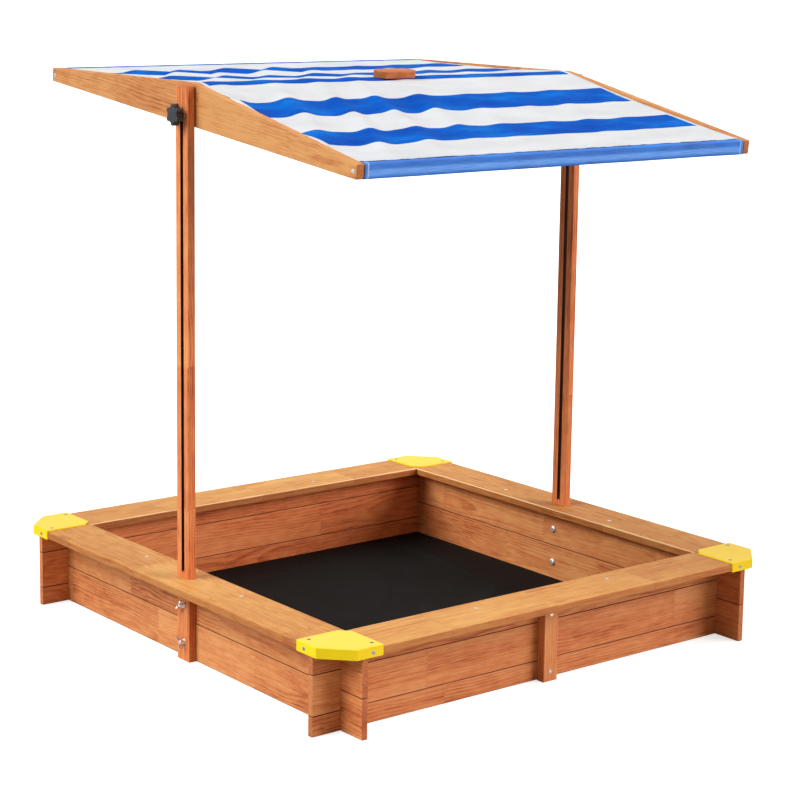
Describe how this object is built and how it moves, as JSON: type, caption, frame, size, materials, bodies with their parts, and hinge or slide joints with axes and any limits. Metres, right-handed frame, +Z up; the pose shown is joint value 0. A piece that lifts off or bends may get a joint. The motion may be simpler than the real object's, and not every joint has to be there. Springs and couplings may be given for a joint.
{
  "type": "sandpit with cover",
  "caption": "Square wooden sandpit with bench boards, corner caps and a striped fabric roof that slides down two slotted posts, tilts, and closes the pit as its cover.",
  "frame": {"origin": "on the floor, under the middle of the pit", "axes": "+X to the right along the front, +Y to the back, +Z up"},
  "size_m": [1.18, 1.18, 1.2108],
  "materials": {
    "wood": "stained softwood, matt varnish",
    "bench_wood": "stained softwood, matt varnish",
    "cap_plastic": "moulded, slightly glossy",
    "canopy_fabric": "woven polyester, blue and white stripes",
    "ground_fabric": "black non-woven",
    "zinc_steel": "zinc plated",
    "knob_plastic": "moulded, fine grain",
    "brass": "turned"
  },
  "bodies": {
    "base": {"back_board_lower": "wood", "back_board_middle": "wood", "back_board_upper": "wood", "bench_back": "bench_wood", "bench_front": "bench_wood", "bench_left": "bench_wood", "bench_right": "bench_wood", "bench_screws": "zinc_steel", "cap_screws": "zinc_steel", "cleat_back": "wood", "cleat_front": "wood", "cleat_screws": "zinc_steel", "corner_cap_back_left": "cap_plastic", "corner_cap_back_right": "cap_plastic", "corner_cap_front_left": "cap_plastic", "corner_cap_front_right": "cap_plastic", "front_board_lower": "wood", "front_board_middle": "wood", "front_board_upper": "wood", "ground_sheet": "ground_fabric", "post_bolts": "zinc_steel", "post_left": "wood", "post_right": "wood", "post_washers": "zinc_steel", "side_board_left_lower": "wood", "side_board_left_upper": "wood", "side_board_right_lower": "wood", "side_board_right_upper": "wood", "wing_nuts": "zinc_steel"},
    "carriage": {"roof_bolt_left": "zinc_steel", "roof_bolt_right": "zinc_steel", "roof_washers": "zinc_steel"},
    "roof": {"ridge_block": "wood", "ridge_block_screws": "zinc_steel", "roof_bar_back": "wood", "roof_bar_front": "wood", "roof_fabric": "canopy_fabric", "roof_ridge_bar": "wood", "roof_screws": "zinc_steel", "roof_side_left": "wood", "roof_side_right": "wood"},
    "knob_left": {"knob_left": "knob_plastic", "knob_insert_left": "brass"},
    "knob_right": {"knob_right": "knob_plastic", "knob_insert_right": "brass"}
  },
  "joints": [
    {"name": "roof_height", "type": "slide", "parent": "base", "child": "carriage", "axis": [0, 0, 1], "range_m": [-0.78, 0]},
    {"name": "roof_tilt", "type": "hinge", "parent": "carriage", "child": "roof", "pos_m": [0, 0, 1.132], "axis": [1, 0, 0], "range_deg": [-21.6, 8.4]},
    {"name": "knob_left_turn", "type": "hinge", "parent": "carriage", "child": "knob_left", "pos_m": [-0.545, 0, 1.132], "axis": [1, 0, 0], "continuous": true},
    {"name": "knob_right_turn", "type": "hinge", "parent": "carriage", "child": "knob_right", "pos_m": [0.545, 0, 1.132], "axis": [1, 0, 0], "continuous": true}
  ]
}
